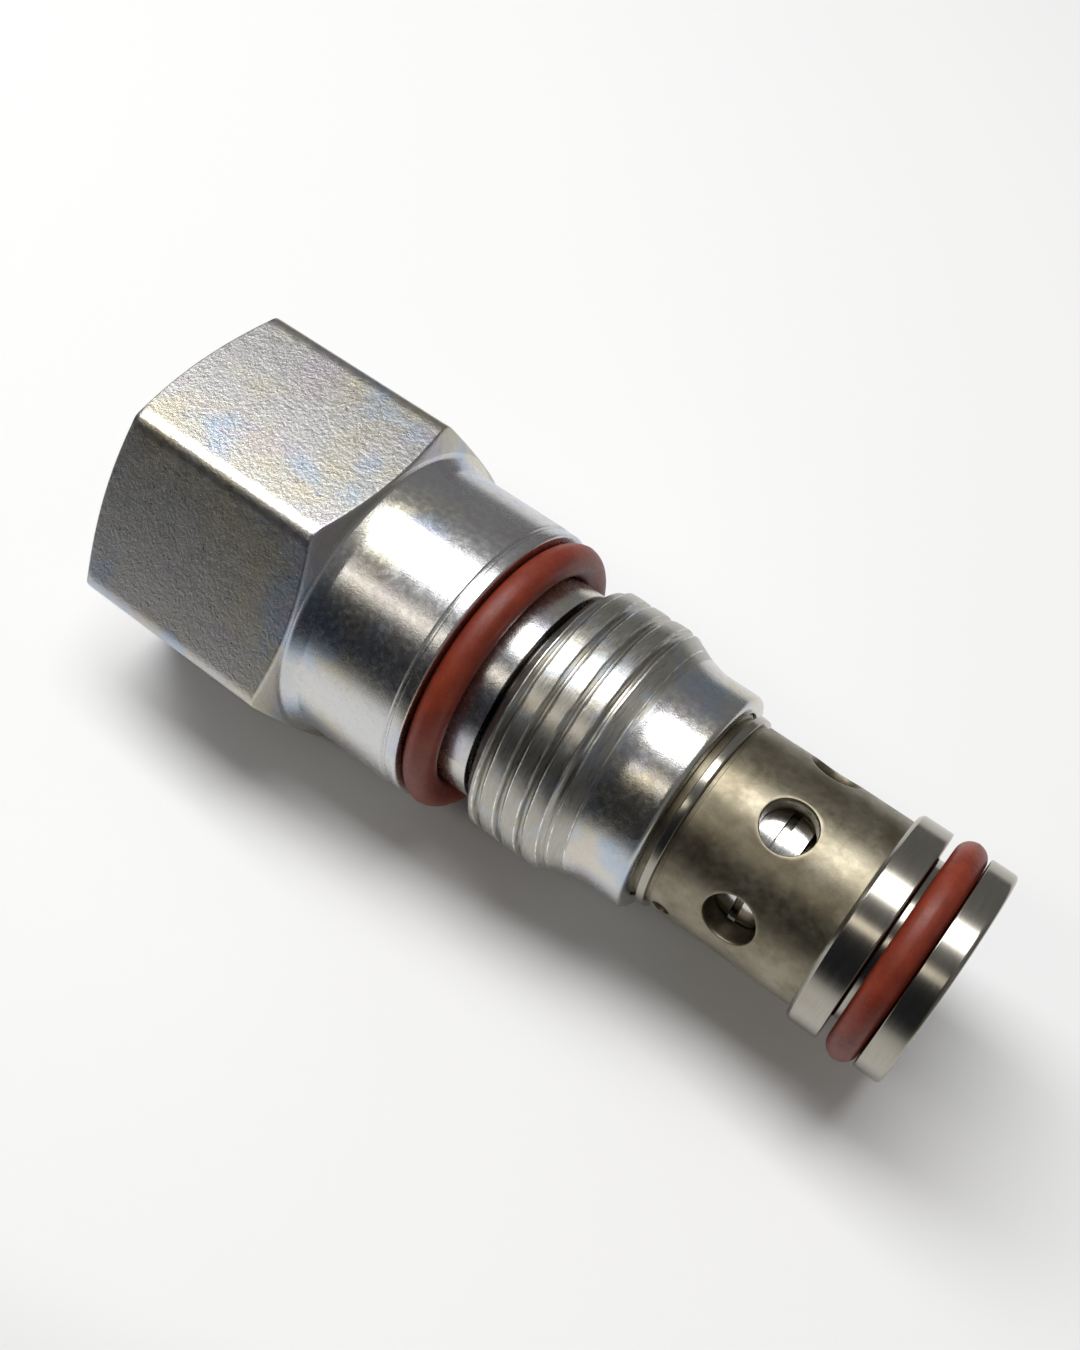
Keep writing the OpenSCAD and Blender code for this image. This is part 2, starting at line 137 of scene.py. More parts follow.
def eased(points, closed=True):
    """An outline with its corners rounded. Each point is (station, radius, corner radius)."""
    outline = []
    for i, (station, radius, corner) in enumerate(points):
        here = Vector((station, radius))
        at_end = not closed and i in (0, len(points) - 1)
        if corner == 0 or at_end:
            outline.append(here)
            continue
        back = Vector(points[i - 1][:2]) - here
        ahead = Vector(points[(i + 1) % len(points)][:2]) - here
        reach = corner / math.tan(back.angle(ahead) / 2)
        reach = min(reach, back.length * 0.48, ahead.length * 0.48)
        first = here + back.normalized() * reach
        last = here + ahead.normalized() * reach
        for k in range(CORNER_STEPS + 1):
            t = k / CORNER_STEPS
            outline.append(first * (1 - t) ** 2 + here * 2 * t * (1 - t) + last * t * t)
    return outline


def in_steps(start, end, steps):
    """Points between two (station, radius) points, ends included, with no corner rounding."""
    return [
        (start[0] + (end[0] - start[0]) * k / steps, start[1] + (end[1] - start[1]) * k / steps, 0)
        for k in range(steps + 1)
    ]


def spun(outline, steps, closed=True):
    """A bmesh turned about X from an outline of (station, radius) points in mm."""
    bm = bmesh.new()
    ring = [bm.verts.new((p[0] * MM, 0, p[1] * MM)) for p in outline]
    pairs = list(zip(ring, ring[1:] + ring[:1]))
    edges = [bm.edges.new(pair) for pair in (pairs if closed else pairs[:-1])]
    wedge = 2 * math.pi / WEDGES
    bmesh.ops.spin(
        bm, geom=ring + edges, cent=(0, 0, 0), axis=(1, 0, 0), angle=wedge, steps=steps // WEDGES,
    )
    while wedge < 2 * math.pi - 0.01:
        copy = bmesh.ops.duplicate(bm, geom=bm.verts[:] + bm.edges[:] + bm.faces[:])["geom"]
        verts = [g for g in copy if isinstance(g, bmesh.types.BMVert)]
        bmesh.ops.rotate(bm, verts=verts, cent=(0, 0, 0), matrix=Matrix.Rotation(wedge, 3, "X"))
        wedge *= 2
    bmesh.ops.remove_doubles(bm, verts=bm.verts[:], dist=1e-6)
    bmesh.ops.recalc_face_normals(bm, faces=bm.faces[:])
    return bm


def polar(co):
    """Station and radius in mm and the turn in degrees from the front (-Y) towards the top (+Z)."""
    return co.x / MM, math.hypot(co.y, co.z) / MM, math.degrees(math.atan2(co.z, -co.y))


def place(vert, station, radius, turn):
    """Puts a vertex at a station and radius in mm and a turn in degrees."""
    a = math.radians(turn)
    vert.co = (station * MM, -radius * math.cos(a) * MM, radius * math.sin(a) * MM)


def flat_reach(turn, af):
    """Distance from the axis to a hexagon with a flat facing down, at a turn in degrees."""
    return af / 2 / math.cos(math.radians((turn % 60) - 30))


def softer_min(a, b, blend):
    """The smaller of two numbers, rounded where they cross."""
    h = max(blend - abs(a - b), 0) / blend
    return min(a, b) - h * h * blend / 4


def crowd_to_corners(bm):
    """Moves the columns of a turned mesh closer together at a hexagon's corners."""
    for vert in bm.verts:
        station, radius, turn = polar(vert.co)
        pull = CORNER_PULL / 6 * math.degrees(math.sin(math.radians(6 * turn)))
        place(vert, station, radius, turn - pull)


def mill_flats(bm, back, front, least_r, af, rounding):
    """Mills six flats on the stretch of a turned blank between two stations."""
    for vert in bm.verts:
        station, radius, turn = polar(vert.co)
        if back - 0.01 <= station <= front + 0.01 and radius > least_r:
            place(vert, station, softer_min(radius, flat_reach(turn, af), rounding), turn)


def broach_socket(bm, back, front, largest_r, af):
    """Opens the round hole between two stations to a hexagon socket."""
    for vert in bm.verts:
        station, radius, turn = polar(vert.co)
        if back - 0.01 <= station <= front + 0.01 and 0.01 < radius < largest_r:
            place(vert, station, radius * flat_reach(turn, af) / (af / 2), turn)


def as_piece(bm, name, body, materials, replaced, even_normals=True):
    """Makes the bmesh an object that rides on a body and stands for CAD nodes."""
    mesh = bpy.data.meshes.new(name)
    bm.to_mesh(mesh)
    bm.free()
    for poly in mesh.polygons:
        poly.use_smooth = True
    piece = bpy.data.objects.new(name, mesh)
    bpy.context.scene.collection.objects.link(piece)
    for material in materials:
        mesh.materials.append(material)
    if even_normals:
        normals = piece.modifiers.new("even_normals", "WEIGHTED_NORMAL")
        normals.weight = 60
    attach(piece, body)
    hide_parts(*replaced)
    return piece


# ---------------------------------------------------------------- finishes

class Finish:
    """A node material with short calls for the nodes that these metals and rubbers use."""

    def __init__(self, name, **sockets):
        self.material = bpy.data.materials.new(name)
        self.material.use_nodes = True
        self.nodes = self.material.node_tree.nodes
        self.links = self.material.node_tree.links
        self.shader = self.nodes["Principled BSDF"]
        for socket, value in sockets.items():
            self.shader.inputs[socket.replace("_", " ")].default_value = value
        self.place_mm = self.vector("SCALE", self.add("ShaderNodeTexCoord").outputs["Object"], scale=1000)

    def add(self, kind, **settings):
        node = self.nodes.new(kind)
        for setting, value in settings.items():
            setattr(node, setting, value)
        return node

    def join(self, source, socket):
        if hasattr(source, "is_linked"):
            self.links.new(source, socket)
        else:
            socket.default_value = source

    def vector(self, operation, a, b=None, scale=None):
        node = self.add("ShaderNodeVectorMath", operation=operation)
        self.join(a, node.inputs[0])
        if b is not None:
            self.join(b, node.inputs[1])
        if scale is not None:
            node.inputs["Scale"].default_value = scale
        return node.outputs[0]

    def math(self, operation, a, b=0.0):
        node = self.add("ShaderNodeMath", operation=operation)
        self.join(a, node.inputs[0])
        self.join(b, node.inputs[1])
        return node.outputs[0]

    def noise(self, per_mm, detail=3, rough=0.55, stretch=(1, 1, 1)):
        node = self.add("ShaderNodeTexNoise")
        where = self.vector("MULTIPLY", self.place_mm, stretch)
        self.links.new(where, node.inputs["Vector"])
        node.inputs["Scale"].default_value = per_mm
        node.inputs["Detail"].default_value = detail
        node.inputs["Roughness"].default_value = rough
        return node.outputs["Fac"]

    def pits(self, per_mm, reach):
        """Small round pits, 1 in a pit and 0 away from it."""
        node = self.add("ShaderNodeTexVoronoi")
        self.links.new(self.place_mm, node.inputs["Vector"])
        node.inputs["Scale"].default_value = per_mm
        return self.spread(node.outputs["Distance"], 0, reach, 1, 0)

    def spread(self, value, low, high, to_low=0.0, to_high=1.0):
        node = self.add("ShaderNodeMapRange")
        for socket, source in zip(node.inputs, (value, low, high, to_low, to_high)):
            self.join(source, socket)
        return node.outputs["Result"]

    def stations(self):
        node = self.add("ShaderNodeSeparateXYZ")
        self.links.new(self.place_mm, node.inputs[0])
        return node.outputs

    def colour(self, source):
        self.join(source, self.shader.inputs["Base Color"])

    def roughness(self, source):
        self.join(source, self.shader.inputs["Roughness"])

    def bump(self, height, depth_mm, strength=1.0, under=None):
        node = self.add("ShaderNodeBump")
        node.inputs["Strength"].default_value = strength
        node.inputs["Distance"].default_value = depth_mm * MM
        self.join(height, node.inputs["Height"])
        if under is not None:
            self.links.new(under, node.inputs["Normal"])
        self.links.new(node.outputs[0], self.shader.inputs["Normal"])
        return node.outputs[0]


def rgb(r, g, b):
    return (r, g, b, 1.0)


def mixed(finish, share, a, b, blend="MIX"):
    """A colour mix, with the sockets found by type because names repeat on the node."""
    node = finish.add("ShaderNodeMix", data_type="RGBA", blend_type=blend)
    finish.join(share, node.inputs[0])
    finish.join(a, node.inputs[6])
    finish.join(b, node.inputs[7])
    return node.outputs[2]


def plating_tints(f, base):
    """Pale blue, straw and mauve bloom of a clear zinc passivation, in soft patches."""
    straw = f.spread(f.noise(0.11, 3, 0.5), 0.44, 0.58)
    blue = f.spread(f.noise(0.13, 4, 0.55, (1, 1.15, 0.9)), 0.50, 0.62)
    mauve = f.spread(f.noise(0.24, 3, 0.5, (0.9, 1.3, 1.1)), 0.55, 0.64)
    tone = mixed(f, f.math("MULTIPLY", straw, 0.75), base, rgb(0.66, 0.61, 0.47))
    tone = mixed(f, f.math("MULTIPLY", blue, 0.8), tone, rgb(0.46, 0.56, 0.70))
    return mixed(f, f.math("MULTIPLY", mauve, 0.45), tone, rgb(0.62, 0.54, 0.59))


def pebbled_zinc():
    """Zinc plate on the rolled hexagon stock: pebbled, with pits, dents and passivation bloom."""
    f = Finish("pebbled_zinc", Metallic=1.0)
    grain = f.noise(3.0, 5, 0.65)
    tone = plating_tints(f, rgb(0.62, 0.61, 0.60))
    tone = mixed(f, 0.5, tone, mixed(f, grain, rgb(0.50, 0.50, 0.51), rgb(0.74, 0.73, 0.71)), "MULTIPLY")
    pit = f.math("MULTIPLY", f.pits(0.62, 0.09), f.spread(f.noise(0.3, 2), 0.50, 0.62))
    f.colour(mixed(f, f.math("MULTIPLY", pit, 0.3), tone, rgb(0.12, 0.11, 0.10)))
    f.roughness(f.spread(f.noise(1.2, 4), 0.3, 0.7, 0.27, 0.37))
    coarse = f.bump(f.noise(0.8, 3, 0.5), 0.04, 0.3)
    pebbles = f.bump(grain, 0.045, 0.9, coarse)
    f.bump(f.math("MULTIPLY", pit, -1.0), 0.02, 0.6, pebbles)
    return f.material


def turned_zinc():
    """Zinc plate on turned faces: satin, finely speckled, with faint tool lines, and painted shade, nearly
    black, in the thread undercut.
    """
    f = Finish("turned_zinc", Metallic=1.0)
    speckle = f.noise(7.0, 3, 0.6)
    tone = plating_tints(f, rgb(0.66, 0.66, 0.66))
    tone = mixed(f, 0.25, tone, mixed(f, speckle, rgb(0.55, 0.55, 0.57), rgb(0.86, 0.85, 0.83)), "MULTIPLY")
    # Painted shade: the floor of the thread undercut is coloured nearly black, where shade falls in the
    # groove.
    from_undercut = f.math("ABSOLUTE", f.math("SUBTRACT", f.stations()[0], THREAD_BACK - 0.35))
    f.colour(mixed(f, f.spread(from_undercut, 0.3, 0.42, 0.85, 0), tone, rgb(0.05, 0.04, 0.035)))
    f.roughness(f.spread(f.noise(2.0, 4), 0.3, 0.7, 0.20, 0.30))
    lines = f.bump(f.noise(3.2, 3, 0.6, (3.4, 0.05, 0.05)), 0.006, 0.3)
    f.bump(speckle, 0.013, 0.6, lines)
    return f.material


def helix_offset(f):
    """Distance in mm from the crest of the port thread, measured along the axis."""
    x, y, z = f.stations()
    turn = f.math("DIVIDE", f.math("ARCTAN2", z, f.math("MULTIPLY", y, -1.0)), 2 * math.pi)
    phase = f.math("ADD", f.math("DIVIDE", f.math("SUBTRACT", x, THREAD_PHASE), THREAD_PITCH), turn)
    near = f.math("SUBTRACT", f.math("FRACT", f.math("ADD", phase, 0.5)), 0.5)
    return f.math("MULTIPLY", f.math("ABSOLUTE", near), THREAD_PITCH)


def threaded_zinc():
    """Zinc plate on the thread: warm grey, drawn along the thread, with a painted near-white highlight
    along the crest edges.
    """
    f = Finish("threaded_zinc", Metallic=1.0)
    drawn = f.noise(4.0, 4, 0.65, (2.6, 0.16, 0.16))
    tone = mixed(f, drawn, rgb(0.27, 0.255, 0.22), rgb(0.58, 0.56, 0.50))
    # Painted highlight: a near-white line along both edges of each crest, broken up in patches by noise.
    edge = f.spread(f.math("ABSOLUTE", f.math("SUBTRACT", helix_offset(f), CREST_HALF)), 0.015, 0.06, 1, 0)
    painted_crest_highlight = f.math("MULTIPLY", edge, f.spread(f.noise(0.8, 4, 0.7), 0.38, 0.6))
    bloom = f.math("MULTIPLY", f.spread(f.noise(0.5, 4), 0.5, 0.62), 0.4)
    tone = mixed(f, bloom, tone, rgb(0.42, 0.48, 0.58))
    f.colour(mixed(f, painted_crest_highlight, tone, rgb(0.93, 0.92, 0.90)))
    f.roughness(f.spread(drawn, 0.3, 0.7, 0.25, 0.38))
    dents = f.bump(f.noise(0.9, 3, 0.6), 0.05, 0.4)
    f.bump(drawn, 0.02, 0.6, dents)
    return f.material


def bronze_steel():
    """Hardened cage steel with an olive-bronze heat tint, satin and faintly ground."""
    f = Finish("bronze_steel", Metallic=1.0)
    cloud = f.noise(0.45, 4, 0.6)
    tone = mixed(f, f.spread(cloud, 0.35, 0.65), rgb(0.205, 0.178, 0.122), rgb(0.33, 0.297, 0.222))
    lines = f.noise(5.0, 3, 0.6, (3.0, 0.06, 0.06))
    f.colour(mixed(f, 0.3, tone, mixed(f, lines, rgb(0.5, 0.5, 0.5), rgb(1, 1, 1)), "MULTIPLY"))
    f.roughness(f.spread(f.noise(1.6, 4), 0.3, 0.7, 0.34, 0.46))
    grind = f.bump(lines, 0.006, 0.5)
    f.bump(f.noise(6.0, 3), 0.008, 0.5, grind)
    return f.material


def land_steel():
    """The cage's ground lands: brighter, with fine circumferential grinding."""
    f = Finish("land_steel", Metallic=1.0)
    lines = f.noise(7.0, 3, 0.65, (3.0, 0.05, 0.05))
    tone = mixed(f, lines, rgb(0.28, 0.262, 0.225), rgb(0.49, 0.47, 0.41))
    stain = f.spread(f.noise(0.5, 4, 0.6), 0.52, 0.68)
    f.colour(mixed(f, f.math("MULTIPLY", stain, 0.35), tone, rgb(0.36, 0.31, 0.24)))
    f.roughness(f.spread(lines, 0.3, 0.7, 0.16, 0.24))
    f.bump(lines, 0.005, 0.5)
    return f.material


def bright_steel():
    """Ground and polished steel of the moving pieces."""
    f = Finish("bright_steel", Metallic=1.0)
    lines = f.noise(8.0, 3, 0.6, (2.5, 0.08, 0.08))
    f.colour(mixed(f, lines, rgb(0.60, 0.59, 0.57), rgb(0.78, 0.77, 0.75)))
    f.roughness(f.spread(lines, 0.3, 0.7, 0.14, 0.24))
    f.bump(lines, 0.004, 0.5)
    return f.material


def black_oxide():
    """Blackened, lightly oiled screw steel."""
    f = Finish("black_oxide", Metallic=1.0)
    cloud = f.noise(1.5, 4)
    f.colour(mixed(f, cloud, rgb(0.045, 0.045, 0.05), rgb(0.13, 0.125, 0.12)))
    f.roughness(f.spread(cloud, 0.3, 0.7, 0.30, 0.44))
    f.bump(f.noise(7.0, 3), 0.008, 0.5)
    return f.material


def spring_wire():
    """Drawn spring wire with fine lines of the drawing die."""
    f = Finish("spring_wire", Metallic=1.0)
    drawn = f.noise(4.0, 4)
    f.colour(mixed(f, drawn, rgb(0.24, 0.25, 0.27), rgb(0.46, 0.46, 0.47)))
    f.roughness(f.spread(drawn, 0.3, 0.7, 0.26, 0.38))
    f.bump(drawn, 0.006, 0.5)
    return f.material


def turned_brass():
    """Turned brass with tool lines and a little tarnish."""
    f = Finish("turned_brass", Metallic=1.0)
    lines = f.noise(6.0, 3, 0.6, (2.5, 0.1, 0.1))
    tone = mixed(f, lines, rgb(0.62, 0.45, 0.18), rgb(0.82, 0.66, 0.32))
    f.colour(mixed(f, f.spread(f.noise(0.7, 4), 0.5, 0.7, 0, 0.5), tone, rgb(0.38, 0.27, 0.12)))
    f.roughness(f.spread(lines, 0.3, 0.7, 0.24, 0.36))
    f.bump(lines, 0.006, 0.5)
    return f.material


def brick_rubber():
    """Brick-red seal rubber with a thin film of oil."""
    f = Finish("brick_rubber", Coat_Weight=0.08, Coat_Roughness=0.30, IOR=1.45)
    cloud = f.noise(0.5, 4, 0.6)
    tone = mixed(f, f.spread(cloud, 0.3, 0.7), rgb(0.150, 0.016, 0.006), rgb(0.240, 0.032, 0.010))
    f.colour(mixed(f, f.spread(f.noise(7.0, 3), 0.60, 0.75, 0, 0.5), tone, rgb(0.30, 0.10, 0.06)))
    f.roughness(f.spread(f.noise(3.0, 4), 0.3, 0.7, 0.40, 0.56))
    f.bump(f.noise(9.0, 4, 0.6), 0.008, 0.5)
    return f.material


def black_seal_rubber():
    """Black seal rubber."""
    f = Finish("black_seal_rubber", IOR=1.5)
    cloud = f.noise(2.0, 4)
    f.colour(mixed(f, cloud, rgb(0.012, 0.012, 0.012), rgb(0.035, 0.034, 0.033)))
    f.roughness(f.spread(cloud, 0.3, 0.7, 0.42, 0.6))
    f.bump(f.noise(9.0, 4), 0.006, 0.5)
    return f.material


def white_glide():
    """Filled white glide plastic."""
    f = Finish("white_glide", IOR=1.4)
    cloud = f.noise(2.5, 4)
    f.colour(mixed(f, cloud, rgb(0.66, 0.64, 0.57), rgb(0.82, 0.80, 0.74)))
    f.roughness(f.spread(cloud, 0.3, 0.7, 0.38, 0.52))
    f.bump(f.noise(8.0, 4), 0.006, 0.5)
    return f.material


ZINC_FLATS = pebbled_zinc()
ZINC_TURNED = turned_zinc()
ZINC_THREAD = threaded_zinc()
CAGE_STEEL = bronze_steel()
LAND_STEEL = land_steel()
BRIGHT_STEEL = bright_steel()
BLACK_SCREW = black_oxide()
SPRING_WIRE = spring_wire()
BRASS = turned_brass()
RED_RUBBER = brick_rubber()
BLACK_RUBBER = black_seal_rubber()
GLIDE_PLASTIC = white_glide()


# ---------------------------------------------------------------- valve body

def taper_limit(station):
    """Largest radius of the thread at a station: a lead-in at the back, the turned taper in front."""
    taper = [(12.1, THREAD_R), (12.9, 10.6), (14.1, 10.07), (15.35, 9.7), (16.0, PILOT_R)]
    lead_in = 9.9 + (station - THREAD_BACK) * 1.3
    if station <= taper[0][0]:
        return min(THREAD_R, lead_in)
    for (x0, r0), (x1, r1) in zip(taper, taper[1:]):
        if station <= x1:
            return r0 + (r1 - r0) * (station - x0) / (x1 - x0)
    return PILOT_R


def thread_radius(station, turn):
    """Radius of the right-hand port thread, broad rounded crests with narrow roots."""
    phase = (station - THREAD_PHASE) / THREAD_PITCH + turn / 360
    from_crest = abs(phase - round(phase)) * THREAD_PITCH
    t = min(max((from_crest - CREST_HALF) / FLANK_RUN, 0), 1)
    crown = CREST_CROWN * (from_crest / CREST_HALF) ** 2 * (t == 0)
    ridge = THREAD_R - THREAD_DEPTH * t * t * (3 - 2 * t) - crown
    return softer_min(ridge, taper_limit(station), 0.12)


def cut_thread(bm):
    """Winds the thread into the turned stretch in front of the undercut."""
    for vert in bm.verts:
        station, radius, turn = polar(vert.co)
        if THREAD_BACK + 0.02 < station < THREAD_FRONT + 0.02 and radius > PILOT_R:
            place(vert, station, thread_radius(station, turn), turn)


def valve_body():
    recess_floor = span("seal_washer")[1]
    recess_r = 9.0
    screw_r = span("adjusting_screw")[2] + 0.02
    chamber_back = span("spring_guide")[0] - 3.3
    chamber_r = 4.8
    seat_back = span("pilot_seat")[0]
    seat_r = span("pilot_seat")[2] + 0.01
    socket_back = span("pilot_seat")[0] + 8
    hex_half = HEX_AF / 2
    thread_rings = int((THREAD_FRONT - THREAD_BACK) / THREAD_STEP)
    outer = (
        [(HEX_BACK, recess_r, 0.3), (HEX_BACK, hex_half - 0.9, 0)]
        + in_steps((HEX_BACK, hex_half - 0.3), (HEX_BACK + HEX_CHAMFER, HEX_CORNER_R), 11)
        + in_steps(
            (HEX_BACK + HEX_CHAMFER + 0.4, HEX_CORNER_R),
            (HEX_FRONT - HEX_CHAMFER - 0.4, HEX_CORNER_R),
            4,
        )
        + in_steps((HEX_FRONT - HEX_CHAMFER, HEX_CORNER_R), (HEX_FRONT, hex_half - 0.1), 11)
        + [
            (HEX_FRONT + 0.12, NECK_R + 0.5, 0.6),
            (HEX_FRONT + 1.3, NECK_R, 0.9),
            (FLANGE_BACK - 0.22, NECK_R, 0.12),
            (FLANGE_BACK - 0.06, NECK_R - 0.22, 0.08),
            (FLANGE_BACK + 0.12, NECK_R - 0.22, 0.08),
            (FLANGE_BACK + 0.22, NECK_R - 0.05, 0.12),
            (0, NECK_R - 0.05, 0.3),
            (0, RELIEF_R, 0.12),
            (THREAD_BACK - 0.7, RELIEF_R, 0.12),
            (THREAD_BACK - 0.6, RELIEF_R - 0.9, 0.2),
            (THREAD_BACK - 0.08, RELIEF_R - 0.9, 0.2),
        ]
    )
    thread = [
        (THREAD_BACK + THREAD_STEP * k, taper_limit(THREAD_BACK + THREAD_STEP * k), 0)
        for k in range(thread_rings + 1)
    ]
    front = [(x, taper_limit(x), 0) for x in (14.1, 14.5, 14.9, 15.3, 15.6, 16.0, 16.4)] + [
        (BODY_END, PILOT_R, 0.9),
        (BODY_END, SOCKET_R + 0.03, 0.08),
        (socket_back, SOCKET_R + 0.03, 0.1),
        (socket_back, seat_r, 0.1),
        (seat_back, seat_r, 0.1),
        (seat_back, chamber_r, 0.1),
        (chamber_back, chamber_r, 0.1),
        (chamber_back, screw_r, 0.1),
        (recess_floor, screw_r, 0.2),
        (recess_floor, recess_r, 0.3),
    ]
    bm = spun(eased(outer + thread + front), 432)
    crowd_to_corners(bm)
    mill_flats(bm, HEX_BACK, HEX_FRONT + 0.1, FLATS_LEAST_R, HEX_AF, HEX_ROUNDING)
    cut_thread(bm)
    piece = as_piece(
        bm, "body_shell", "valve_body", [ZINC_TURNED, ZINC_FLATS, ZINC_THREAD], ["valve_body"]
    )
    for poly in piece.data.polygons:
        station, radius, _ = polar(poly.center)
        if station < HEX_FRONT and radius > recess_r + 0.4:
            poly.material_index = 1
        elif THREAD_BACK < station < THREAD_FRONT + 0.6 and radius > PILOT_R:
            poly.material_index = 2


# ---------------------------------------------------------------- cage

def square_point(k, back, front, half):
    """Point k of a rectangle's outline with SIDE_STEPS steps a side, from the middle of its front side."""
    corner_first = SIDE_STEPS // 2
    side, along = divmod(k + corner_first, SIDE_STEPS)
    t = along / SIDE_STEPS
    corners = [(front, -half), (front, half), (back, half), (back, -half)]
    (u0, v0), (u1, v1) = corners[side % 4], corners[(side + 1) % 4]
    return u0 + (u1 - u0) * t, v0 + (v1 - v0) * t


def wrapped(vert, u, v, radius, share, station, turn):
    """Lays a flat point (u along, v across, mm) on the tube: straight-drilled at the hole, evenly
    rolled at the sector's edge, and share of the way between."""
    drilled = math.asin(max(-1.0, min(1.0, v / radius)))
    rolled = v / CAGE_R
    place(vert, station + u, radius, turn + math.degrees(drilled * (1 - share) + rolled * share))


def drilled_sector(bm, station, turn, hole_r, back, front, rim):
    """One sector of the cage wall with a deburred hole through it, outer skin, hole wall and bore skin."""
    half = CAGE_R * math.pi / SECTORS
    points = 4 * SIDE_STEPS
    wall = CAGE_R - CAGE_BORE_R
    circle = bmesh.ops.create_circle(bm, segments=points, radius=1.0)
    loop = sorted(circle["verts"], key=lambda v: math.atan2(v.co.y, v.co.x) % (2 * math.pi))
    layers = [(1.0, CAGE_R), (0.55, CAGE_R), (0.25, CAGE_R), (0.08, CAGE_R), (0.0, CAGE_R)]
    layers += [(-rim * 0.55, CAGE_R - rim * 0.25), (-rim, CAGE_R - rim)]
    layers += [(-rim, CAGE_R - wall * k / 4) for k in (1, 2, 3)]
    layers += [(-rim, CAGE_BORE_R + 0.1), (0.0, CAGE_BORE_R)]
    layers += [(0.25, CAGE_BORE_R), (0.55, CAGE_BORE_R), (1.0, CAGE_BORE_R)]
    edges = list({e for v in loop for e in v.link_edges})
    for number, (share, radius) in enumerate(layers):
        if number:
            grown = bmesh.ops.extrude_edge_only(bm, edges=edges)["geom"]
            new = [g for g in grown if isinstance(g, bmesh.types.BMVert)]
            edges = [g for g in grown if isinstance(g, bmesh.types.BMEdge) and
                     g.verts[0] in new and g.verts[1] in new]
            partner = {}
            for vert in new:
                other = next(e.other_vert(vert) for e in vert.link_edges if e.other_vert(vert) in loop)
                partner[other] = vert
            loop = [partner[vert] for vert in loop]
        ring_r = hole_r + rim + min(share, 0.0)
        outward = max(share, 0.0)
        for k, vert in enumerate(loop):
            a = 2 * math.pi * k / points
            u0, v0 = ring_r * math.cos(a), ring_r * math.sin(a)
            u1, v1 = square_point(k, back, front, half)
            u, v = u0 + (u1 - u0) * outward, v0 + (v1 - v0) * outward
            wrapped(vert, u, v, radius, outward, station, turn)


def plain_sector(bm, station, turn, back, front):
    """One sector of the cage wall with no hole."""
    half = CAGE_R * math.pi / SECTORS
    for radius in (CAGE_R, CAGE_BORE_R):
        grid = bmesh.ops.create_grid(bm, x_segments=SIDE_STEPS, y_segments=SIDE_STEPS, size=1.0)
        for vert in grid["verts"]:
            u = back + (front - back) * (vert.co.x + 1) / 2
            wrapped(vert, u, vert.co.y * half, radius, 1.0, station, turn)


def end_loop(bm, station, radius):
    """The open edges at a station and radius."""
    found = []
    for edge in bm.edges:
        if not edge.is_boundary:
            continue
        spots = [polar(vert.co) for vert in edge.verts]
        if all(abs(s[0] - station) < 0.01 and abs(s[1] - radius) < 0.01 for s in spots):
            found.append(edge)
    return found


def turn_on(bm, edges, outline):
    """Carries an open loop on along an outline of (station, radius) points."""
    for station, radius in outline:
        grown = bmesh.ops.extrude_edge_only(bm, edges=edges)["geom"]
        new = [g for g in grown if isinstance(g, bmesh.types.BMVert)]
        for vert in new:
            place(vert, station, radius, polar(vert.co)[2])
        edges = [g for g in grown if isinstance(g, bmesh.types.BMEdge) and
                 g.verts[0] in new and g.verts[1] in new]


